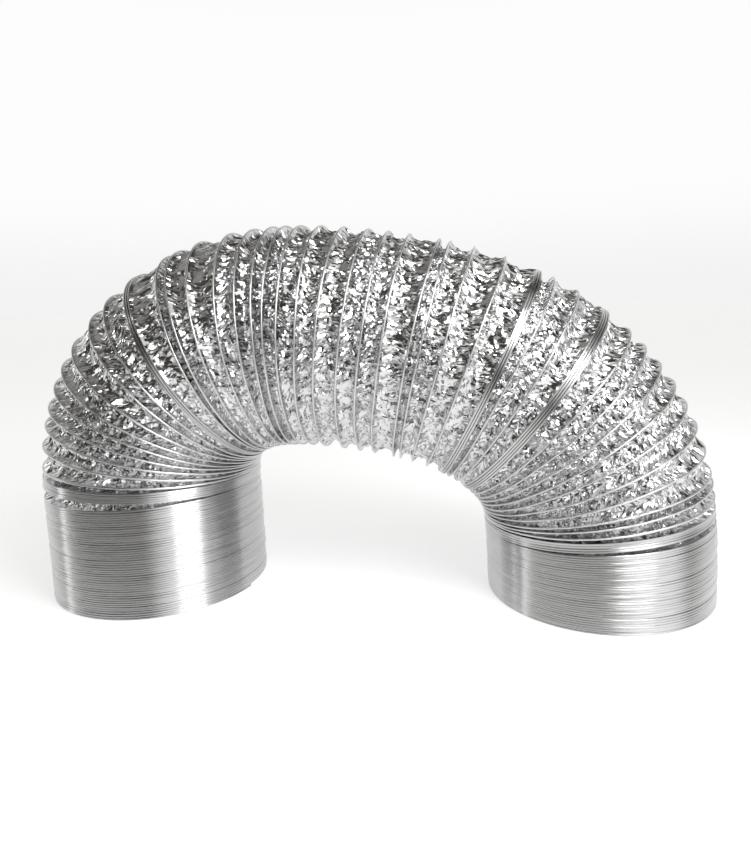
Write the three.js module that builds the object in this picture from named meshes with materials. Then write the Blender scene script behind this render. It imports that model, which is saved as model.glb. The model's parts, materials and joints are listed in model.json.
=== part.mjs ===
// Flexible aluminium-foil air duct for 150 mm spigots, standing as an arch on its two closed-up ends.
// One continuous spring-wire helix carries a foil skin. Where the pleats are closed the wire turns lie
// side by side as a stack; where they are pulled open the turns fan out around the arch.
// Millimetres, +Z up. Origin: on the floor, below the middle of the whole duct. +X runs along the arch.
import * as THREE from 'three';

// Driving dimensions
const OUTER_RADIUS = 77;        // over the foil-wrapped wire
const WIRE = 1.2;               // side of the wire's square stand-in section
const CLOSED_PITCH = 1.5;       // rise of one turn where the pleats are closed
const LEAST_PITCH = 1.5;        // closest that open turns come on the inside of the bend
const FOIL = 0.4;               // thickness of the stretched skin's stand-in
const FOLD_DEPTH = 9.5;         // how far closed pleats fold inwards
const GAP = 0.3;                // clearance kept between neighbouring solids
const LEFT_LEAN = 0.014;        // outward lean at the top of each stack, radians
const RIGHT_LEAN = -0.07;
const FAN_LIMITS = [5, 12];     // rise of a turn in the fan, least and most
const CLIMB = 0.3;              // share of a turn in which it rises, from the back round the inner side
const STEPS = 16;               // facets in one turn of the arch
const STACK_STEPS = 32;         // facets in one turn of a stack

// The duct from its left end to its right end, as runs of turns: [turns, rise of each turn]. The fan
// above the right stack has no rise of its own: it opens until both ends stand level
const LEFT_STACK = [[49, CLOSED_PITCH]];
const LEFT_BAND = [[1, 5.8], [4, CLOSED_PITCH]];
const FAN = [7, null];
const ARCH = [
  [1, 4.3], [2, 8.9], [1, 7.8], [2, 8.5], [1, 9.9], [1, 12.3], [1, 9.2], [1, 11.5],
  [2, CLOSED_PITCH], [1, 14.4], [1, 4.9], [1, 10.2], [1, 13.9], [1, 10.6], [1, 8.9], [1, 6.4],
  [1, 8], [1, 10.8], [1, 12.6], [1, 14.8], [2, 12.4], [1, 16.6], [1, 6.1], [1, 12.4], [1, 16],
  [1, 15.6], [2, CLOSED_PITCH], [1, 6.6], [1, 11.8], [1, 12.1], [3, CLOSED_PITCH], [1, 11.5],
  FAN, [1, 4.4], [1, 5.2],
];
const RIGHT_BAND = [[1, 4], [3, CLOSED_PITCH], [1, 3.5]];
const RIGHT_STACK = [[33, CLOSED_PITCH]];

// How sharply the arch bends at five even stations from the left stack to the right one
const BEND_PROFILE = [2.19, 1.34, 0.15, 0.94, 1.53];

// Turns in each group of the arch that keeps its shape; the duct bends between the groups
const ARCH_GROUPS = [2, 2, 2, 2, 4, 2, 2, 2, 2, 2, 2, 2, 2, 4, 2, 4, 2, 2, 2, 2, 2];

const wireFinish = () => new THREE.MeshStandardMaterial({
  name: 'wire_bead', color: 0xc9cacb, roughness: 0.28, metalness: 1,
});
const foilFinish = () => new THREE.MeshStandardMaterial({
  name: 'foil', color: 0xb9babb, roughness: 0.22, metalness: 1,
});

// Rise of every turn, in order
const runs = [LEFT_STACK, LEFT_BAND, ARCH, RIGHT_BAND, RIGHT_STACK];
const countTurns = (part) => part.reduce((sum, [turns]) => sum + turns, 0);
const risesFor = (fanRise) => runs.flat().flatMap(([turns, rise]) => Array(turns).fill(rise ?? fanRise));
const firstTurn = [0];
for (const part of runs) firstTurn.push(firstTurn.at(-1) + countTurns(part));
const [leftEnd, leftBand, arch, rightBand, rightStack, rightEnd] = firstTurn;

// Bend of every turn: the arch follows the profile, as far as the inside of each open turn allows
function bendOfTurns(rises) {
  const curved = rises.slice(leftBand, rightStack);
  const length = curved.reduce((sum, rise) => sum + rise, 0);
  const wanted = Math.PI + LEFT_LEAN + RIGHT_LEAN;
  let travelled = 0;
  const pull = curved.map((rise) => {
    const place = ((travelled + rise / 2) / length) * (BEND_PROFILE.length - 1);
    travelled += rise;
    const low = Math.floor(place);
    const part = THREE.MathUtils.lerp(BEND_PROFILE[low], BEND_PROFILE[low + 1], place - low);
    return part * rise;
  });
  const limit = curved.map((rise) => Math.max(0, (rise - LEAST_PITCH) / OUTER_RADIUS));
  let scale = wanted / length;
  let bends = [];
  for (let pass = 0; pass < 60; pass += 1) {
    bends = pull.map((amount, i) => Math.min(amount * scale, limit[i]));
    scale *= wanted / bends.reduce((sum, bend) => sum + bend, 0);
  }
  const leftTurns = leftBand - leftEnd;
  const rightTurns = rightEnd - rightStack;
  return [
    ...Array(leftTurns).fill(-LEFT_LEAN / leftTurns),
    ...bends,
    ...Array(rightTurns).fill(-RIGHT_LEAN / rightTurns),
  ];
}

// Centre line at every whole turn: place, and direction of travel as an angle above +X
function centreLine(rises, bends) {
  const centres = [{ x: 0, z: 0, angle: Math.PI / 2 }];
  rises.forEach((rise, turn) => {
    const { x, z, angle } = centres[turn];
    const middle = angle - bends[turn] / 2;
    centres.push({
      x: x + rise * Math.cos(middle),
      z: z + rise * Math.sin(middle),
      angle: angle - bends[turn],
    });
  });
  return centres;
}

// Open the fan until the right end comes down to the floor
function settle() {
  let [low, high] = FAN_LIMITS;
  for (let pass = 0; pass < 50; pass += 1) {
    const rises = risesFor((low + high) / 2);
    if (centreLine(rises, bendOfTurns(rises)).at(-1).z > 0) low = (low + high) / 2;
    else high = (low + high) / 2;
  }
  return risesFor(high);
}
const rises = settle();
const bends = bendOfTurns(rises);
const centres = centreLine(rises, bends);

// Centre line at any turn count, whole or not: each turn does its rise first, then lies square
function centreAt(turn) {
  const whole = Math.min(Math.floor(turn), rises.length - 1);
  const part = THREE.MathUtils.smoothstep(turn - whole, 0, CLIMB);
  const { x, z, angle } = centres[whole];
  const middle = angle - (bends[whole] * part) / 2;
  const reach = rises[whole] * part;
  return {
    x: x + reach * Math.cos(middle),
    z: z + reach * Math.sin(middle),
    angle: angle - bends[whole] * part,
  };
}

// A point beside the centre line: every whole turn starts at the back of the duct (+Y)
function pointBeside(turn, around, radius, along) {
  const { x, z, angle } = centreAt(turn);
  const outward = radius * Math.cos(around);
  return new THREE.Vector3(
    x + along * Math.cos(angle) - outward * Math.sin(angle),
    radius * Math.sin(around),
    z + along * Math.sin(angle) + outward * Math.cos(angle),
  );
}
const aroundAt = (turn) => Math.PI / 2 + 2 * Math.PI * turn;

// A closed body swept along the helix: section(turn) lists its corners as [turn, radius, along], first
// along the inner side and then back along the outer side
function sweepAlongHelix(from, to, steps, section) {
  const loops = [];
  for (let i = 0; i <= steps; i += 1) {
    const turn = THREE.MathUtils.lerp(from, to, i / steps);
    const around = aroundAt(turn);
    loops.push(section(turn).map(([at, radius, along]) => pointBeside(at, around, radius, along)));
  }
  const corners = loops[0].length;
  const positions = loops.flat().flatMap((point) => point.toArray());
  const index = [];
  for (let i = 0; i < steps; i += 1) {
    for (let j = 0; j < corners; j += 1) {
      const a = i * corners + j;
      const b = i * corners + ((j + 1) % corners);
      index.push(a, a + corners, b, b, a + corners, b + corners);
    }
  }
  const last = steps * corners;
  for (let j = 0; j < corners / 2 - 1; j += 1) {
    const across = corners - 1 - j;
    index.push(j, j + 1, across - 1, j, across - 1, across);
    index.push(last + j, last + across - 1, last + j + 1, last + j, last + across, last + across - 1);
  }
  const geometry = new THREE.BufferGeometry();
  geometry.setAttribute('position', new THREE.Float32BufferAttribute(positions, 3));
  geometry.setIndex(index);
  geometry.computeVertexNormals();
  return geometry;
}

// Open wire turns, as a helix of square section
function wireHelix(from, to) {
  const cut = GAP / (2 * Math.PI * OUTER_RADIUS);
  const half = WIRE / 2;
  return sweepAlongHelix(from + cut, to - cut, STEPS * (to - from), (turn) => [
    [turn, OUTER_RADIUS - WIRE, -half],
    [turn, OUTER_RADIUS - WIRE, half],
    [turn, OUTER_RADIUS, half],
    [turn, OUTER_RADIUS, -half],
  ]);
}

// Closed turns as one wall around the duct. Its edges follow the wire, but the duct's own ends are flat
function closedTurns(from, to, innerRadius, outerRadius, lowEdge, highEdge) {
  const cut = GAP / (2 * Math.PI * OUTER_RADIUS);
  return sweepAlongHelix(from + cut, from + 1 - cut, STACK_STEPS, (turn) => {
    const low = from === leftEnd ? [leftEnd, 0] : [turn, lowEdge];
    const high = to === rightEnd ? [rightEnd, 0] : [turn + highEdge[0], highEdge[1]];
    return [
      [low[0], innerRadius, low[1]],
      [high[0], innerRadius, high[1]],
      [high[0], outerRadius, high[1]],
      [low[0], outerRadius, low[1]],
    ];
  });
}

// Stretched skin from a group's first wire turn to the next group's first one
function stretchedFoil(from, to) {
  const cut = GAP / (2 * Math.PI * OUTER_RADIUS);
  const outer = OUTER_RADIUS - WIRE - GAP;
  const inner = outer - FOIL;
  const turns = to - from;
  const edge = (i) => (i === 0 ? GAP : i === turns ? -GAP : 0);
  return sweepAlongHelix(from + cut, from + 1 - cut, STEPS, (turn) => {
    const inside = [];
    const outside = [];
    for (let i = 0; i <= turns; i += 1) {
      inside.push([turn + i, inner, edge(i)]);
      outside.unshift([turn + i, outer, edge(i)]);
    }
    return [...inside, ...outside];
  });
}

const duct = new THREE.Group();
duct.name = 'flexible_air_duct';

function addPiece(name, geometry, material) {
  const mesh = new THREE.Mesh(geometry, material);
  mesh.name = name;
  duct.add(mesh);
}

// A stack's group of closed turns: the wire outside, the folded foil inside it
function addStackGroup(name, from, to) {
  const half = WIRE / 2;
  const lastWire = [to - from - 1, half];
  const nextWire = [to - from, -half - GAP];
  const wireInside = OUTER_RADIUS - WIRE;
  const foldOutside = wireInside - GAP;
  const foldInside = foldOutside - FOLD_DEPTH;
  addPiece(`${name}_wire`, closedTurns(from, to, wireInside, OUTER_RADIUS, -half, lastWire), wireFinish());
  addPiece(`${name}_foil`, closedTurns(from, to, foldInside, foldOutside, GAP / 2, nextWire), foilFinish());
}

// An open group: its wire turns, and the skin that reaches on to the next group
function addOpenGroup(name, from, to) {
  addPiece(`${name}_wire`, wireHelix(from, to), wireFinish());
  addPiece(`${name}_foil`, stretchedFoil(from, to), foilFinish());
}

const leftSplit = leftEnd + Math.floor((leftBand - leftEnd) / 2);
const rightSplit = rightStack + Math.floor((rightEnd - rightStack) / 2);
addStackGroup('left_stack_lower', leftEnd, leftSplit);
addStackGroup('left_stack_upper', leftSplit, leftBand);
addOpenGroup('left_band', leftBand, arch);
let groupStart = arch;
ARCH_GROUPS.forEach((turns, i) => {
  addOpenGroup(`arch_${String(i + 1).padStart(2, '0')}`, groupStart, groupStart + turns);
  groupStart += turns;
});
addOpenGroup('right_band', rightBand, rightStack);
addStackGroup('right_stack_upper', rightStack, rightSplit);
addStackGroup('right_stack_lower', rightSplit, rightEnd);

// The left stack was built on x = 0 and the right end follows from the arch: centre the duct on its length
const box = new THREE.Box3().setFromObject(duct);
duct.position.x = -(box.min.x + box.max.x) / 2;

export default duct;
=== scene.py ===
import json
import math

import bpy
import numpy as np
from mathutils import Matrix, Vector

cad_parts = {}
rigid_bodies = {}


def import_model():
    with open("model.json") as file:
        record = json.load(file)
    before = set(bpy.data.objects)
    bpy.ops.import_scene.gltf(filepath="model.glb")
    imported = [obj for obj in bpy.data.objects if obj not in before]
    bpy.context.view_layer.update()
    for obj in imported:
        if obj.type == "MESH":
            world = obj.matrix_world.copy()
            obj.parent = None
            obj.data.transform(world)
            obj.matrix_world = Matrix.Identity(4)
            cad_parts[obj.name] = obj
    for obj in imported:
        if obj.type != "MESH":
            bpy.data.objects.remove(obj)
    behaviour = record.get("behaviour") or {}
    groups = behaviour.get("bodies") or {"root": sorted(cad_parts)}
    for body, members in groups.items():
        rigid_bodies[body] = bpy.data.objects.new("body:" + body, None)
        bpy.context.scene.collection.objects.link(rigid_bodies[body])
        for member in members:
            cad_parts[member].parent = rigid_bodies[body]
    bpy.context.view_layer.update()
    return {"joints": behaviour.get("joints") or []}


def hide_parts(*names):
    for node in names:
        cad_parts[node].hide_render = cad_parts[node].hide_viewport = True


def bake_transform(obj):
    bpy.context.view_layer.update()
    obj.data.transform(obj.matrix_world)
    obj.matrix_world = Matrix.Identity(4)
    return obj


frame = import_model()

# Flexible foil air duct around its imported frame. Lengths below are millimetres until they reach a mesh.
MM = 0.001

# ---------------------------------------------------------------------------------- the duct's centre line
OUTER_RADIUS = 77.0
CLOSED_PITCH = 1.5
LEFT_LEAN, RIGHT_LEAN = 0.014, -0.07
# Each run lists how many turns, and how far each of them rises; None is the fan, solved for below.
LEFT_STACK = [(49, CLOSED_PITCH)]
LEFT_BAND = [(1, 5.8), (4, CLOSED_PITCH)]
ARCH = [
    (1, 4.3), (2, 8.9), (1, 7.8), (2, 8.5), (1, 9.9), (1, 12.3), (1, 9.2), (1, 11.5),
    (2, CLOSED_PITCH), (1, 14.4), (1, 4.9), (1, 10.2), (1, 13.9), (1, 10.6), (1, 8.9), (1, 6.4),
    (1, 8), (1, 10.8), (1, 12.6), (1, 14.8), (2, 12.4), (1, 16.6), (1, 6.1), (1, 12.4), (1, 16),
    (1, 15.6), (2, CLOSED_PITCH), (1, 6.6), (1, 11.8), (1, 12.1), (3, CLOSED_PITCH), (1, 11.5),
    (7, None), (1, 4.4), (1, 5.2),
]
RIGHT_BAND = [(1, 4), (3, CLOSED_PITCH), (1, 3.5)]
RIGHT_STACK = [(33, CLOSED_PITCH)]
BEND_PROFILE = [2.19, 1.34, 0.15, 0.94, 1.53]     # how strongly the arch bends, from left to right
BEND_PASSES = 60
FAN_RISES = (5.0, 12.0)     # the fan's rise lies between these
FAN_PASSES = 50
CLIMB = 0.3     # share of a turn in which it rises; it lies square for the rest
RUNS = [LEFT_STACK, LEFT_BAND, ARCH, RIGHT_BAND, RIGHT_STACK]
starts = np.cumsum([0] + [sum(turns for turns, _ in run) for run in RUNS])
LEFT_TOP, RIGHT_TOP, END = int(starts[1]), int(starts[4]), int(starts[5])


def rises_for(fan):
    return np.array([
        fan if rise is None else rise for run in RUNS for turns, rise in run for _ in range(turns)
    ])


def bends_of(rises):
    """Bend of every turn: it follows the profile as far as the inside of each open turn allows."""
    curved = rises[LEFT_TOP:RIGHT_TOP]
    middle = np.cumsum(curved) - curved / 2
    stations = np.linspace(0, curved.sum(), len(BEND_PROFILE))
    pull = np.interp(middle, stations, BEND_PROFILE) * curved
    limit = np.maximum(0, (curved - CLOSED_PITCH) / OUTER_RADIUS)
    wanted = math.pi + LEFT_LEAN + RIGHT_LEAN
    scale = wanted / curved.sum()
    for _ in range(BEND_PASSES):
        bent = np.minimum(pull * scale, limit)
        scale *= wanted / bent.sum()
    left = np.full(LEFT_TOP, -LEFT_LEAN / LEFT_TOP)
    right = np.full(END - RIGHT_TOP, -RIGHT_LEAN / (END - RIGHT_TOP))
    return np.concatenate([left, bent, right])


def centre_line(rises, bends):
    angle = math.pi / 2 - np.concatenate([[0], np.cumsum(bends)])
    middle = angle[:-1] - bends / 2
    x = np.concatenate([[0], np.cumsum(rises * np.cos(middle))])
    z = np.concatenate([[0], np.cumsum(rises * np.sin(middle))])
    return x, z, angle


low, high = FAN_RISES
for _ in range(FAN_PASSES):  # the fan opens until both ends stand level
    rises = rises_for((low + high) / 2)
    if centre_line(rises, bends_of(rises))[1][-1] > 0:
        low = (low + high) / 2
    else:
        high = (low + high) / 2
rises = rises_for(high)
bends = bends_of(rises)
line_x, line_z, line_angle = centre_line(rises, bends)
hinge_after = {joint["parent"]: joint for joint in frame["joints"] if joint["type"] == "hinge"}
first_hinge = hinge_after["left_stack_upper"]
line_x = line_x + first_hinge["pos_m"][0] / MM - line_x[LEFT_TOP]
whole_turns = np.arange(END + 1)
length_to = np.concatenate([[0], np.cumsum(rises)])
bend_to = np.concatenate([[0], np.cumsum(bends)])


def centre_at(turn):
    whole = np.clip(np.floor(turn).astype(int), 0, END - 1)
    part = turn - whole
    middle = line_angle[whole] - bends[whole] * part / 2
    reach = rises[whole] * part
    return (
        line_x[whole] + reach * np.cos(middle),
        line_z[whole] + reach * np.sin(middle),
        line_angle[whole] - bends[whole] * part,
    )


def climbed(turn):
    """Station of the wire on the centre line: each turn does its rise first, then lies square."""
    whole = np.floor(turn)
    part = np.clip((turn - whole) / CLIMB, 0, 1)
    return whole + part * part * (3 - 2 * part)


def turn_reaching(station):
    """The turn of the wire that gets to a station while it climbs."""
    whole = math.floor(station)
    part = min(max(station - whole, 0.0), 1.0)
    if part < 1e-6:
        return float(whole)
    return whole + CLIMB * (0.5 - math.sin(math.asin(1 - 2 * part) / 3))


def around_at(turn):
    """Angle round the duct; whole turns lie at its back."""
    return math.pi / 2 + 2 * math.pi * turn


def place(turn, around, radius, along):
    """Points beside the centre line, in millimetres."""
    x, z, angle = centre_at(turn)
    outward = radius * np.cos(around)
    return np.stack([
        x + along * np.cos(angle) - outward * np.sin(angle),
        radius * np.sin(around),
        z + along * np.sin(angle) + outward * np.cos(angle),
    ], axis=-1)


def length_at(turn):
    return np.interp(turn, whole_turns, length_to)


def bend_at(turn):
    return np.interp(turn, whole_turns, bend_to)


def turn_at(length):
    return np.interp(length, length_to, whole_turns)


# ---------------------------------------------------------------------------------- bodies along the duct
chain = ["left_stack_upper"]
while chain[-1] in hinge_after:
    chain.append(hinge_after[chain[-1]]["child"])
full_bends = [math.radians(hinge_after[name]["range_deg"][1]) for name in chain[:-1]]
scale = (bend_to[RIGHT_TOP] - bend_to[LEFT_TOP]) / sum(full_bends)
body_bend = bend_to[LEFT_TOP] + np.concatenate([[0], np.cumsum(full_bends)]) * scale
rising, at = np.unique(bend_to[LEFT_TOP:RIGHT_TOP + 1].round(9), return_index=True)
cuts = np.interp(body_bend, rising, whole_turns[LEFT_TOP:RIGHT_TOP + 1][at])
cuts[0], cuts[-1] = LEFT_TOP, RIGHT_TOP


class Section:
    """A stretch of the duct that bends or opens between bodies a and b.

    It stands for the plain solids of the bodies in nodes. weight gives a turn's share of body b.
    """

    def __init__(self, name, a, b, start, end, nodes, weight):
        self.name, self.a, self.b, self.start, self.end = name, a, b, start, end
        self.nodes, self.weight = nodes, weight


sections = [Section(
    "left_stack", "left_stack_lower", "left_stack_upper", 0, LEFT_TOP, ["left_stack_lower"],
    lambda turn: turn / LEFT_TOP,
)]
# The section that starts on left_stack_upper is left_crease: that body's turns are in left_stack.
for k, name in enumerate(chain[:-1]):
    span = (body_bend[k], body_bend[k + 1])
    sections.append(Section(
        "left_crease" if k == 0 else name, name, chain[k + 1], cuts[k], cuts[k + 1], [name],
        lambda turn, span=span: (bend_at(turn) - span[0]) / (span[1] - span[0]),
    ))
sections.append(Section(
    "right_stack", "right_stack_upper", "right_stack_lower", RIGHT_TOP, END,
    ["right_stack_upper", "right_stack_lower"], lambda turn: (turn - RIGHT_TOP) / (END - RIGHT_TOP),
))

# ---------------------------------------------------------------------------------- irregularity
SEED = 20


def waver(turn, seed, rates, amount):
    """A smooth, endless irregularity along the helix; rates are waves in one turn."""
    draw = np.random.default_rng(SEED + seed)
    total = np.zeros_like(turn, dtype=float)
    for rate in rates:
        total += draw.uniform(0.6, 1.0) * np.sin(2 * math.pi * (rate * turn + draw.uniform()))
    return amount * total / len(rates)


def per_turn(turn, seed, amount):
    """A value that changes smoothly from one whole turn to the next."""
    values = np.random.default_rng(SEED + seed).uniform(-1, 1, END + 3)
    return amount * np.interp(turn, np.arange(END + 3), values)


def openness(turn):
    """0 where turns lie closed, 1 where they stand well apart."""
    ahead = length_at(climbed(turn + 1)) - length_at(climbed(turn))
    behind = length_at(climbed(turn)) - length_at(climbed(turn - 1))
    return np.clip((np.minimum(ahead, behind) - CLOSED_PITCH) / 5, 0, 1)


def bunched(turn):
    """1 inside the arch, where a few turns lying together are drawn less tight than in the stacks."""
    return np.interp(turn, [LEFT_TOP + 7, LEFT_TOP + 9, RIGHT_TOP - 7, RIGHT_TOP - 5], [0, 1, 1, 0])


CLOSED_BEAD = (0.34, 0.740)     # half the wrapped wire's thickness, outwards and along the duct, in a stack
OPEN_BEAD = (0.60, 0.68)        # and where turns stand apart
WIRE_RADIUS = OUTER_RADIUS - CLOSED_BEAD[0] - 0.05
WIRE_INSET = 0.45               # the wire lies this far inside that radius, to leave room for its waves
WIRE_SWAY = 0.30                # how far a closed turn stands off to one side
END_SHIFT = 0.75                # moves both ends along the duct, so that the last turn lies on the floor


def wire_line(turn):
    """Radius and offset along the duct of the wire's middle."""
    open_ = openness(turn)
    sway = WIRE_SWAY * np.cos(2 * math.pi * (turn + waver(turn / 9.0, 5, [0.7, 1.9], 0.5)))
    radius = WIRE_RADIUS - WIRE_INSET - sway * (1 - open_)
    radius = radius - waver(turn, 1, [1.37, 2.21, 3.3], 0.14) - per_turn(turn, 2, 0.07)
    along = waver(turn, 3, [1.7, 2.9, 4.3], 1) * (0.02 + 0.65 * open_)
    along = along + waver(turn, 4, [9.1, 13.7], 0.10) * open_
    resting = np.clip(1 - turn / LEFT_TOP, 0, 1) + np.clip((turn - RIGHT_TOP) / (END - RIGHT_TOP), 0, 1)
    return np.minimum(radius, WIRE_RADIUS), along - END_SHIFT * resting


# ---------------------------------------------------------------------------------- mesh helpers
def make_mesh(name, points, faces, uv, material, sharp):
    """points in millimetres; faces are triangles or quads; uv one pair for each point; sharp in degrees."""
    faces = np.asarray(faces)
    sides = faces.shape[1]
    mesh = bpy.data.meshes.new(name)
    mesh.vertices.add(len(points))
    mesh.vertices.foreach_set("co", (points * MM).astype(np.float32).ravel())
    mesh.loops.add(faces.size)
    mesh.loops.foreach_set("vertex_index", faces.astype(np.int32).ravel())
    mesh.polygons.add(len(faces))
    mesh.polygons.foreach_set("loop_start", np.arange(0, faces.size, sides, dtype=np.int32))
    layer = mesh.uv_layers.new(name="along")
    layer.data.foreach_set("uv", uv[faces.ravel()].astype(np.float32).ravel())
    mesh.polygons.foreach_set("use_smooth", np.ones(len(faces), bool))
    mesh.update(calc_edges=True)
    mesh.validate()
    mesh.set_sharp_from_angle(angle=math.radians(sharp))
    mesh.materials.append(material)
    obj = bpy.data.objects.new(name, mesh)
    bpy.context.scene.collection.objects.link(obj)
    return obj


def attach(obj, section, turn, suffix):
    """Bakes the piece in place and hides the plain solids of its section's bodies, which it stands for; each
    turn's share of body b is worked out but not used.
    """
    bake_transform(obj)
    weight = np.clip(section.weight(turn), 0, 1)
    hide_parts(*[f"{node}_{suffix}" for node in section.nodes])


# ---------------------------------------------------------------------------------- materials
def node_material(name, base, roughness, build):
    material = bpy.data.materials.new(name)
    material.use_nodes = True
    tree = material.node_tree
    shader = tree.nodes["Principled BSDF"]
    shader.inputs["Metallic"].default_value = 1.0
    shader.inputs["Base Color"].default_value = (*base, 1)
    shader.inputs["Roughness"].default_value = roughness
    build(tree, shader)
    return material


def noise(tree, vector, scale, detail, roughness=0.55):
    node = tree.nodes.new("ShaderNodeTexNoise")
    node.inputs["Scale"].default_value = scale
    node.inputs["Detail"].default_value = detail
    node.inputs["Roughness"].default_value = roughness
    tree.links.new(vector, node.inputs["Vector"])
    return node


def ramp(tree, value, low_in, high_in, low_out, high_out):
    node = tree.nodes.new("ShaderNodeMapRange")
    node.inputs["From Min"].default_value = low_in
    node.inputs["From Max"].default_value = high_in
    node.inputs["To Min"].default_value = low_out
    node.inputs["To Max"].default_value = high_out
    tree.links.new(value, node.inputs["Value"])
    return node.outputs["Result"]


def soft_step(tree, value, low_in, high_in, low_out=0.0, high_out=1.0):
    result = ramp(tree, value, low_in, high_in, low_out, high_out)
    result.node.interpolation_type = "SMOOTHSTEP"
    return result


def tint(tree, value, dark, light):
    node = tree.nodes.new("ShaderNodeMix")
    node.data_type = "RGBA"
    node.clamp_factor = False
    node.inputs["A"].default_value = (*dark, 1)
    node.inputs["B"].default_value = (*light, 1)
    tree.links.new(value, node.inputs["Factor"])
    return node.outputs["Result"]


def bump(tree, height, strength, distance, below=None):
    node = tree.nodes.new("ShaderNodeBump")
    node.inputs["Strength"].default_value = strength
    node.inputs["Distance"].default_value = distance
    tree.links.new(height, node.inputs["Height"])
    if below is not None:
        tree.links.new(below, node.inputs["Normal"])
    return node.outputs["Normal"]


FOIL_DARK, FOIL_LIGHT = (0.60, 0.60, 0.60), (0.69, 0.69, 0.695)


def foil_nodes(tree, shader):
    where = tree.nodes.new("ShaderNodeTexCoord").outputs["Object"]
    fine = noise(tree, where, 420, 3, 0.6)
    broad = noise(tree, where, 45, 2)
    tree.links.new(ramp(tree, broad.outputs["Fac"], 0.3, 0.7, 0.06, 0.12), shader.inputs["Roughness"])
    tree.links.new(tint(tree, broad.outputs["Fac"], FOIL_DARK, FOIL_LIGHT), shader.inputs["Base Color"])
    tree.links.new(bump(tree, fine.outputs["Fac"], 0.08, 0.0005), shader.inputs["Normal"])


def wire_nodes(tree, shader, dark, light, rough, drawn=0.0, crinkle=0.0):
    """dark to light is the tint; drawn makes reflections anisotropic; crinkle wrinkles the foil round it."""
    uv = tree.nodes.new("ShaderNodeUVMap")
    uv.uv_map = "along"
    stretch = tree.nodes.new("ShaderNodeMapping")
    stretch.inputs["Scale"].default_value = (0.02, 0.9, 1.0)
    tree.links.new(uv.outputs["UV"], stretch.inputs["Vector"])
    brushed = noise(tree, stretch.outputs["Vector"], 1.0, 1, 0.5)
    tree.links.new(ramp(tree, brushed.outputs["Fac"], 0.3, 0.7, *rough), shader.inputs["Roughness"])
    grey = tint(tree, brushed.outputs["Fac"], (dark, dark, dark), (light, light, light))
    tree.links.new(grey, shader.inputs["Base Color"])
    wrinkled = None
    if crinkle:
        coarse = tree.nodes.new("ShaderNodeMapping")
        coarse.inputs["Scale"].default_value = (0.24, 0.6, 1.0)
        tree.links.new(uv.outputs["UV"], coarse.inputs["Vector"])
        wrinkles = noise(tree, coarse.outputs["Vector"], 1.0, 2, 0.6)
        wrinkled = bump(tree, wrinkles.outputs["Fac"], crinkle, 0.0004)
    tree.links.new(bump(tree, brushed.outputs["Fac"], 0.10, 0.0001, wrinkled), shader.inputs["Normal"])
    if drawn:
        tangent = tree.nodes.new("ShaderNodeTangent")
        tangent.direction_type = "UV_MAP"
        tangent.uv_map = "along"
        tree.links.new(tangent.outputs["Tangent"], shader.inputs["Tangent"])
        shader.inputs["Anisotropic"].default_value = drawn
        shader.inputs["Anisotropic Rotation"].default_value = 0.25


foil_material = node_material("crumpled_foil", (0.88, 0.88, 0.885), 0.15, foil_nodes)
open_wire = node_material(
    "foil_over_wire", (0.88, 0.88, 0.885), 0.22,
    lambda tree, shader: wire_nodes(tree, shader, 0.56, 0.76, (0.24, 0.36), crinkle=0.5),
)
closed_wire = node_material(
    "foil_over_closed_wire", (0.7, 0.7, 0.7), 0.22,
    lambda tree, shader: wire_nodes(tree, shader, 0.38, 0.70, (0.24, 0.32), drawn=0.95),
)

# ---------------------------------------------------------------------------------- the wire, wrapped in foil
WIRE_STEPS = 128        # steps in one turn
BEAD_SIDES = 8
START, STOP = 0.29, float(END)      # the wire's own ends, where it comes to lie on the floor
TUCK = 0.2              # pressed together, every turn tucks its upper edge in under the one above
SQUARENESS = 0.48       # a power under one squares the closed bead, as tight wrapping does
BUNCH_HALF_WIDTH = 0.58     # half the wire's thickness along the duct where turns lie together in the arch
CLOSED_BELOW = 0.1      # openness under which a turn looks closed
UV_PER_TURN = 484.0     # millimetres round the duct
BEAD_SHARP, FOIL_SHARP = 60, 10     # degrees between faces that shade as an edge
END_CAP = [[0, 3, 2, 1], [0, 7, 4, 3], [7, 6, 5, 4]]    # closes a ring of eight


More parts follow.
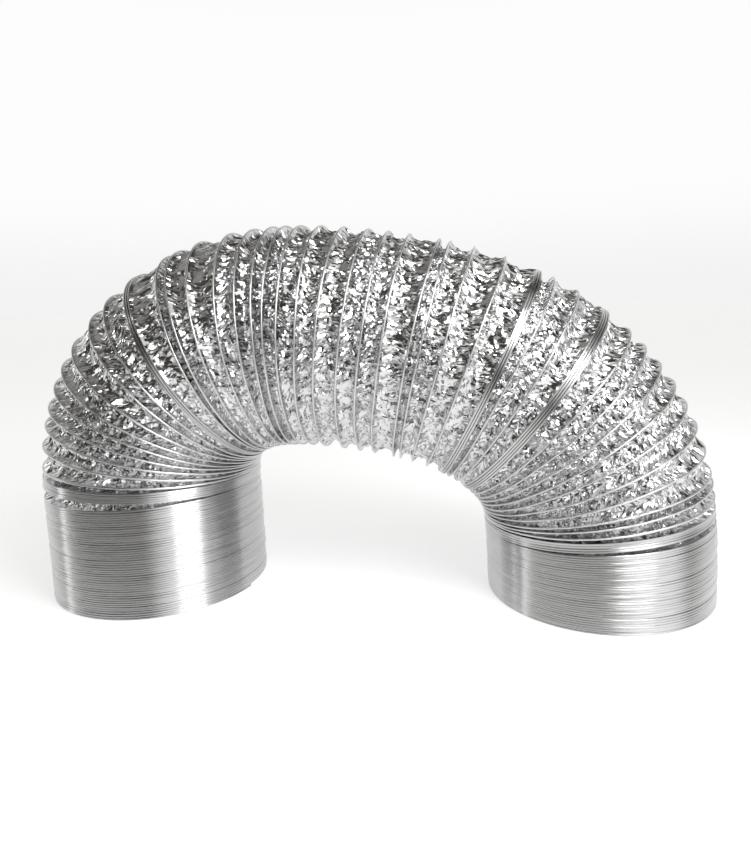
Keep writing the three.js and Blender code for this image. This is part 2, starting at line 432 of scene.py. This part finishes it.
def make_wire(section):
    first, last = max(turn_reaching(section.start), START), min(turn_reaching(section.end), STOP)
    inside = np.arange(math.ceil(first * WIRE_STEPS), math.floor(last * WIRE_STEPS) + 1) / WIRE_STEPS
    turn = np.concatenate([[first], inside[(inside > first + 1e-4) & (inside < last - 1e-4)], [last]])
    radius, along = wire_line(turn)
    around = around_at(turn)
    side = np.arange(BEAD_SIDES) * 2 * math.pi / BEAD_SIDES
    open_ = openness(turn)[:, None]
    fades = [LEFT_TOP + 5, LEFT_TOP + 9, RIGHT_TOP - 5, RIGHT_TOP - 1]
    tuck = np.interp(turn, fades, [TUCK, 0, 0, -TUCK])[:, None]
    squareness = SQUARENESS + (1 - SQUARENESS) * open_
    half_out = CLOSED_BEAD[0] + (OPEN_BEAD[0] - CLOSED_BEAD[0]) * open_
    half_along = CLOSED_BEAD[1] + (OPEN_BEAD[1] - CLOSED_BEAD[1]) * open_
    half_along = half_along - bunched(turn)[:, None] * (half_along - BUNCH_HALF_WIDTH).clip(0)
    out = np.sign(np.cos(side)) * np.abs(np.cos(side)) ** squareness * half_out
    wide = np.sign(np.sin(side)) * np.abs(np.sin(side)) ** squareness * half_along
    rings = place(
        np.broadcast_to(climbed(turn)[:, None], out.shape), around[:, None],
        radius[:, None] + out - tuck * wide, along[:, None] + wide,
    )
    points = rings.reshape(-1, 3)
    i = np.arange(len(turn) - 1)[:, None] * BEAD_SIDES
    j = np.arange(BEAD_SIDES)[None, :]
    k = (j + 1) % BEAD_SIDES
    quads = np.stack([i + j, i + k, i + BEAD_SIDES + k, i + BEAD_SIDES + j], -1).reshape(-1, 4)
    uv = np.stack(np.broadcast_arrays(turn[:, None] * UV_PER_TURN, np.arange(BEAD_SIDES) * 0.5), -1)
    end = len(points) - BEAD_SIDES
    quads = np.concatenate([quads, END_CAP, end + np.array(END_CAP)[:, ::-1]])
    name = f"coil_{section.name}"
    obj = make_mesh(name, points, quads, uv.reshape(-1, 2), open_wire, sharp=BEAD_SHARP)
    obj.data.materials.append(closed_wire)
    shut = np.repeat(openness((turn[:-1] + turn[1:]) / 2) < CLOSED_BELOW, BEAD_SIDES)
    shut = np.concatenate([shut, np.zeros(2 * len(END_CAP), bool)])
    obj.data.polygons.foreach_set("material_index", shut.astype(np.int32))
    attach(obj, section, np.repeat(climbed(turn), BEAD_SIDES), "wire")


for section in sections:
    make_wire(section)

# ---------------------------------------------------------------------------------- the foil skin
OPEN_COLUMNS, STACK_COLUMNS = 680, 160      # steps round one turn
CLOSED_ROWS = 4
FOLD_PITCH = [1.5, 4, 8, 12, 16, 20]        # distance between two turns of the wire ...
FOLD_DEPTH = [7.5, 7.3, 6.6, 5.7, 4.7, 3.8]  # ... and how deep the foil folds between them
LEAST_PITCH = 0.9
OPEN_FOLD, STACK_FOLD = 0.60, 1.0       # power of the fold's profile; under one it is fuller at the wire
LEAN = 16.0             # how strongly the lines across the open foil lean round the duct
STACK_DRIFT = (0.45, 0.06)      # irregularity of the stacks' folds, outwards and along the duct
ROUND = 2 * math.pi * OUTER_RADIUS


def skin_points(turn, across, squarish):
    """Positions on the folded skin. across runs from 0 at one turn of the wire to 1 at the next."""
    low, high = climbed(turn), climbed(turn + 1)
    start, stop = length_at(low), length_at(high)
    station = turn_at(start + (stop - start) * across)
    around = around_at(turn)
    pitch = (stop - start) + (bend_at(high) - bend_at(low)) * WIRE_RADIUS * np.cos(around)
    pitch = np.maximum(pitch, LEAST_PITCH)
    depth = np.interp(pitch, FOLD_PITCH, FOLD_DEPTH) * (1 + waver(turn, 11, [2.3, 3.9, 7.1], 0.25))
    # shallow on the inside of a bend, and between the turns of a bunch
    depth = depth * (0.30 + 0.70 * np.clip(pitch / np.maximum(stop - start, 0.5), 0, 1))
    depth = depth * np.where(stop - start < 4, 1 - 0.6 * bunched(turn), 1)
    crease = 0.5 + waver(turn, 12, [1.9, 5.3, 8.7], 0.16) * np.clip(pitch / 6 - 0.5, 0, 1)
    side = np.where(across < crease, across / crease, (1 - across) / (1 - crease))
    r0, a0 = wire_line(turn)
    r1, a1 = wire_line(turn + 1)
    fold = np.sin(np.clip(side, 0, 1) * math.pi / 2) ** squarish
    radius = r0 + (r1 - r0) * across - depth * fold
    along = a0 + (a1 - a0) * across
    return station, around, radius, along, pitch


def lean(turn):
    """Which way, and how much, the lines across the open foil lean at a turn."""
    return waver(turn, 42, [1.3, 2.7, 5.9], 1.1) + per_turn(turn, 43, 0.5)


def build_skin(first, last, columns, rows_of):
    """Turn and place across its strip of each vertex, and the triangles, from turn first to last."""
    draw = np.random.default_rng(SEED + 30 + first)
    base, turns, acrosses = {}, [], []
    count = 0
    rest = draw.uniform(-0.32, 0.32, (last - first + 2, columns))
    for n in range(first, last + 1):
        rows = rows_of(n) if n < last else 1
        base[n] = (count, rows)
        i = np.arange(columns)
        for j in range(rows):
            u = j / rows
            jitter = draw.uniform(-0.22, 0.22, columns) / rows if j else np.zeros(columns)
            wander = draw.uniform(-0.20, 0.20, columns) if j else 0
            line = rest[n - first] * (1 - u) + rest[n + 1 - first] * u
            turn = n + (i + line + wander) / columns
            drag = np.minimum(u, 1 - u) * LEAN * lean(turn) / ROUND if rows > CLOSED_ROWS else 0
            turns.append(turn + drag)
            acrosses.append(u + jitter)
        count += rows * columns
    triangles = []

    def index(n, j, i):
        start, rows = base[n]
        return (base[n + 1][0] + i) if j == rows else (start + j * columns + i)

    for n in range(first, last):
        rows = base[n][1]
        i = np.arange(columns - 1)
        for j in range(rows):
            a, b = index(n, j, i), index(n, j, i + 1)
            d, c = index(n, j + 1, i), index(n, j + 1, i + 1)
            flip = draw.uniform(size=columns - 1) < 0.5
            triangles.append(np.stack([a, b, np.where(flip, d, c)], -1))
            triangles.append(np.stack([np.where(flip, b, a), c, d], -1))
        if n + 1 >= last:
            continue
        left = [int(index(n, j, columns - 1)) for j in range(rows + 1)]
        right = [int(index(n + 1, j, 0)) for j in range(base[n + 1][1] + 1)]
        triangles.append(zip_edges(left, right))
    return np.concatenate(turns), np.concatenate(acrosses), np.concatenate(triangles)


def zip_edges(left, right):
    """Triangles between two lines of vertices that may have different counts."""
    a = b = 0
    made = []
    while a < len(left) - 1 or b < len(right) - 1:
        step_left = (a + 1) * (len(right) - 1) <= (b + 1) * (len(left) - 1)
        if b == len(right) - 1 or (a < len(left) - 1 and step_left):
            made.append([left[a], right[b], left[a + 1]])
            a += 1
        else:
            made.append([left[a], right[b], right[b + 1]])
            b += 1
    return np.array(made)


def vertex_normals(points, triangles):
    a, b, c = (points[triangles[:, k]] for k in range(3))
    face = np.cross(b - a, c - a)
    normals = np.zeros_like(points)
    for k in range(3):
        np.add.at(normals, triangles[:, k], face)
    return normals / np.maximum(np.linalg.norm(normals, axis=1, keepdims=True), 1e-9)


def split_by_planes(points, station, extra, triangles, planes):
    """Cuts triangles where they cross a plane of constant station, so that sections meet exactly."""
    for plane in planes:
        t = station[triangles]
        crossing = (t.min(1) < plane - 1e-9) & (t.max(1) > plane + 1e-9)
        if not crossing.any():
            continue
        keep, cut = triangles[~crossing], triangles[crossing]
        above = station[cut] > plane
        alone_above = above.sum(1) == 1
        lone = np.where(alone_above, above.argmax(1), (~above).argmax(1))
        r = np.arange(len(cut))
        a, b, c = cut[r, lone], cut[r, (lone + 1) % 3], cut[r, (lone + 2) % 3]
        edges = np.concatenate([np.stack([a, b], -1), np.stack([a, c], -1)])
        edges.sort(axis=1)
        unique, inverse = np.unique(edges, axis=0, return_inverse=True)
        inverse = inverse.ravel()
        s0, s1 = station[unique[:, 0]], station[unique[:, 1]]
        part = ((plane - s0) / (s1 - s0))[:, None]
        new = len(points) + inverse
        points = np.concatenate([points, points[unique[:, 0]] * (1 - part) + points[unique[:, 1]] * part])
        extra = np.concatenate([extra, extra[unique[:, 0]] * (1 - part) + extra[unique[:, 1]] * part])
        station = np.concatenate([station, np.full(len(unique), float(plane))])
        ab, ac = new[:len(cut)], new[len(cut):]
        triangles = np.concatenate([
            keep, np.stack([a, ab, ac], -1), np.stack([ab, b, c], -1), np.stack([ab, c, ac], -1),
        ])
    return points, station, extra, triangles


# wavelength of each family of creases, and how far they lean from the shortest way across the strip;
# None draws the lean at random
CREASES = [
    (3.7, 0.55), (4.4, -0.6), (5.1, 0.8), (6.0, -0.25),
    (7.2, None), (9.0, None), (11.5, None), (15.0, None), (20.0, None),
]
FINE_BELOW = 6.5        # the wavelength that parts fine creases from broad ones
CREASE_SLOPE = 0.052    # height of a crease for its wavelength
CREASE_LIMIT = 1.8      # no crease is higher
JITTER = 0.014          # height of the smallest irregularity
# strength of the creases at five places along the arch, counted in turns from the stacks
CREASE_PLACES = [LEFT_TOP + 8, LEFT_TOP + 16, LEFT_TOP + 30, RIGHT_TOP - 22, RIGHT_TOP - 14]
FINE_STRENGTH = [0.9, 0.35, 0.45, 0.42, 0.45]
BROAD_STRENGTH = [1.1, 1.2, 1.3, 1.5, 1.5]


def crease_waves(run, travel):
    """Folded waves in many directions: flat facets between sharp creases, gathered in patches.

    The fine creases are strongest just above the left stack. The broad ones grow towards the right.
    """
    fine = np.interp(run / ROUND, CREASE_PLACES, FINE_STRENGTH)
    broad = np.interp(run / ROUND, CREASE_PLACES, BROAD_STRENGTH)
    draw = np.random.default_rng(SEED + 41)
    height = np.zeros_like(run)
    for size, tilt in CREASES:
        slant = draw.uniform(-1.2, 1.2) if tilt is None else tilt
        bend_run, bend_travel, patch_run, patch_travel = draw.uniform(0.12, 0.42, 4) * [1, 1, 1.3, 1.3]
        starts_at = draw.uniform(0, 2 * math.pi, 4)
        phase = (run * math.cos(slant) + travel * math.sin(slant)) / size
        wobble = 0.30 * np.sin(run * bend_run + starts_at[0])
        phase += wobble + 0.30 * np.sin(travel * bend_travel + starts_at[1])
        patch = np.sin(run * patch_run + starts_at[2] + 1.5 * np.sin(travel * patch_travel + starts_at[3]))
        fold = np.abs(phase % 1.0 * 2 - 1) * 2 - 1
        slope = CREASE_SLOPE * (fine if size < FINE_BELOW else broad)
        height += fold * size * slope * np.clip(1.4 * patch, 0, 1)
    return height


def crumple(turn, across, station, around, radius, along, pitch, triangles):
    """Foil between two turns of wire: creases in every direction and small facets."""
    smooth = place(station, around, radius, along)
    normal = vertex_normals(smooth, triangles)
    draw = np.random.default_rng(SEED + 43)
    room = np.clip(0.16 * pitch - 0.1, 0.05, 1) * (4 * across * (1 - across)).clip(0, 1) ** 0.35
    height = crease_waves(turn * ROUND, length_at(station) * 1.1)
    height = height + draw.uniform(-JITTER, JITTER, len(turn))
    height = np.clip(height, -CREASE_LIMIT, CREASE_LIMIT) * room
    return smooth + normal * height[:, None]


def make_skin():
    # the open part of the duct, in fine detail
    def rows_of(n):
        rise = max(rises[max(n, 0)], rises[min(n + 1, END - 1)])
        return CLOSED_ROWS if rise < 2 else int(np.clip(round(rise * 0.6) + 3, 6, 11))

    first, last = LEFT_TOP - 2, RIGHT_TOP + 2
    turn, across, triangles = build_skin(first, last, OPEN_COLUMNS, rows_of)
    station, around, radius, along, pitch = skin_points(turn, across, OPEN_FOLD)
    points = crumple(turn, across, station, around, radius, along, pitch, triangles)
    uv = np.stack([turn * ROUND, length_at(station)], -1)
    parts = [(points, station, uv, triangles, slice(1, len(sections) - 1))]
    # the closed pleats of the two stacks
    for low, high, which in ((0, LEFT_TOP + 2, 0), (RIGHT_TOP - 2, END, len(sections) - 1)):
        turn, across, triangles = build_skin(low, high, STACK_COLUMNS, lambda n: CLOSED_ROWS)
        station, around, radius, along, pitch = skin_points(turn, across, STACK_FOLD)
        draw = np.random.default_rng(SEED + 61 + low)
        inside = across > 0
        radius = radius + draw.uniform(-STACK_DRIFT[0], STACK_DRIFT[0], len(turn)) * inside
        along = along + draw.uniform(-STACK_DRIFT[1], STACK_DRIFT[1], len(turn)) * inside
        within = (turn > START) & (turn + across < STOP)
        triangles = triangles[within[triangles].all(1)]
        points = place(station, around, radius, along)
        uv = np.stack([turn * ROUND, length_at(station)], -1)
        parts.append((points, station, uv, triangles, slice(which, which + 1)))
    for points, station, uv, triangles, which in parts:
        points, station, uv, triangles = split_by_planes(points, station, uv, triangles, list(cuts))
        middle = station[triangles].mean(1)
        for section in sections[which]:
            mine = triangles[(middle > section.start) & (middle < section.end)]
            used, faces = np.unique(mine, return_inverse=True)
            faces = faces.reshape(-1, 3)
            name = f"skin_{section.name}"
            obj = make_mesh(name, points[used], faces, uv[used], foil_material, sharp=FOIL_SHARP)
            attach(obj, section, station[used], "foil")


make_skin()

# ---------------------------------------------------------------------------------- floor, light and camera
# Metres from here on.
FLOOR_REACH = 12.0
FLOOR_GAP = 0.0004              # the floor lies this far under the duct
FLOOR_GLOW = (0.16, 0.62)       # painted light: the floor glows, dim near the camera and bright under the duct ...
GLOW_EDGE = (-0.60, -0.25)      # ... and where it changes from one to the other, from front to back


def paint_floor():
    paint = bpy.data.materials.new("pale_floor_painted_light")
    paint.use_nodes = True
    tree = paint.node_tree
    shader = tree.nodes["Principled BSDF"]
    shader.inputs["Base Color"].default_value = (0.7, 0.7, 0.7, 1)
    shader.inputs["Emission Color"].default_value = (1, 1, 1, 1)
    shader.inputs["Roughness"].default_value = 0.9
    split = tree.nodes.new("ShaderNodeSeparateXYZ")
    tree.links.new(tree.nodes.new("ShaderNodeTexCoord").outputs["Object"], split.inputs[0])
    # painted light: the floor's glow is a pool of light under the duct that fades to dim towards the camera,
    # in place of the lamps' falloff
    strength = soft_step(tree, split.outputs["Y"], *GLOW_EDGE, *FLOOR_GLOW)
    tree.links.new(strength, shader.inputs["Emission Strength"])
    return paint


floor_mesh = bpy.data.meshes.new("floor")
corners = [(x * FLOOR_REACH, y * FLOOR_REACH, 0) for x, y in ((-1, -1), (1, -1), (1, 1), (-1, 1))]
floor_mesh.from_pydata(corners, [], [(0, 1, 2, 3)])
floor = bpy.data.objects.new("floor", floor_mesh)
bpy.context.scene.collection.objects.link(floor)
floor.location.z = -FLOOR_GAP
floor_mesh.materials.append(paint_floor())

world = bpy.data.worlds.new("studio")
bpy.context.scene.world = world
world.use_nodes = True
tree = world.node_tree
tree.nodes.clear()
out = tree.nodes.new("ShaderNodeOutputWorld")
shade = tree.nodes.new("ShaderNodeBackground")
tree.links.new(shade.outputs[0], out.inputs[0])
split = tree.nodes.new("ShaderNodeSeparateXYZ")
generated = tree.nodes.new("ShaderNodeTexCoord").outputs["Generated"]
tree.links.new(generated, split.inputs[0])


def maths(operation, a, b):
    node = tree.nodes.new("ShaderNodeMath")
    node.operation = operation
    for socket, value in zip(node.inputs, (a, b)):
        if isinstance(value, (int, float)):
            socket.default_value = value
        else:
            tree.links.new(value, socket)
    return node.outputs[0]


def glow(direction, spread):
    """A soft lobe of light around a direction; spread is the cosine at which it has faded away."""
    dot = tree.nodes.new("ShaderNodeVectorMath")
    dot.operation = "DOT_PRODUCT"
    tree.links.new(generated, dot.inputs[0])
    dot.inputs[1].default_value = Vector(direction).normalized()
    return soft_step(tree, dot.outputs["Value"], spread, 1.0)


def toward(azimuth, elevation):
    """Direction by its angle from the front towards the right, and above the horizon."""
    a, e = math.radians(azimuth), math.radians(elevation)
    return (math.sin(a) * math.cos(e), -math.cos(a) * math.cos(e), math.sin(e))


ROOM, WHITE = (0.072, 0.066, 0.055), (0.98, 0.98, 0.98)
HORIZON = 0.905     # brightness of the white background where it meets the floor

# a white background behind the duct that ends above it, a strong glow from the front right, a faint one from
# above on the left, and a dim room everywhere else
behind = soft_step(tree, split.outputs["Y"], -0.20, 0.45)
under = maths("SUBTRACT", 1.0, soft_step(tree, split.outputs["Z"], 0.35, 0.75))
rising_light = maths("MULTIPLY", soft_step(tree, split.outputs["Z"], 0.0, 0.15), 0.095)
bright = maths("MULTIPLY", maths("MULTIPLY", behind, under), maths("ADD", HORIZON, rising_light))
for azimuth, elevation, spread, strength in ((46, 12, 0.78, 2.2), (270, 60, 0.76, 0.30)):
    lobe = maths("MULTIPLY", glow(toward(azimuth, elevation), spread), strength)
    bright = maths("MAXIMUM", bright, lobe)
tree.links.new(tint(tree, bright, ROOM, WHITE), shade.inputs["Color"])
shade.inputs["Strength"].default_value = 1.0


def softbox(name, location, target, size, radiance):
    data = bpy.data.lights.new(name, "AREA")
    data.shape = "RECTANGLE"
    data.size, data.size_y = size
    data.energy = radiance * math.pi * size[0] * size[1]
    lamp = bpy.data.objects.new(name, data)
    bpy.context.scene.collection.objects.link(lamp)
    lamp.location = location
    lamp.rotation_euler = (Vector(target) - Vector(location)).to_track_quat("-Z", "Y").to_euler()
    lamp.visible_camera = False


softbox("key", (0.33, -0.33, 0.54), (0.05, 0, 0.10), (0.32, 0.32), 8.0)
softbox("fill", (0.28, -0.20, 0.68), (0.05, 0, 0.12), (0.60, 0.50), 0.9)
softbox("left_strip", (-1.6, -0.25, 0.5), (-0.1, 0, 0.1), (0.18, 1.2), 2.5)

# The camera stands at the photograph's angle. Distance, aim, lens and sensor are millimetres, and the shift
# is a share of the frame's longer side.
YAW, PITCH, ROLL = math.radians(7.19), math.radians(8.09), math.radians(-1.72)
DISTANCE, AIM_X, AIM_Z = 475.75, 17.66, 138.06
LENS, SENSOR = 28.033333, 36
SHIFT = (-0.017465278, -0.04584491)
back = Vector((math.sin(YAW) * math.cos(PITCH), -math.cos(YAW) * math.cos(PITCH), math.sin(PITCH)))
right = Vector((math.cos(YAW), math.sin(YAW), 0))
up = back.cross(right)
right_rolled = right * math.cos(ROLL) + up * math.sin(ROLL)
up_rolled = up * math.cos(ROLL) - right * math.sin(ROLL)
camera_data = bpy.data.cameras.new("camera")
camera = bpy.data.objects.new("camera", camera_data)
bpy.context.scene.collection.objects.link(camera)
spot = (Vector((AIM_X, 0, AIM_Z)) + back * DISTANCE) * MM
turned = Matrix((right_rolled, up_rolled, back)).transposed()
camera.matrix_world = Matrix.Translation(spot) @ turned.to_4x4()
camera_data.sensor_width = SENSOR
camera_data.lens = LENS
camera_data.shift_x, camera_data.shift_y = SHIFT
camera_data.clip_start = 0.01
bpy.context.scene.camera = camera
bpy.context.scene.view_settings.view_transform = "Standard"
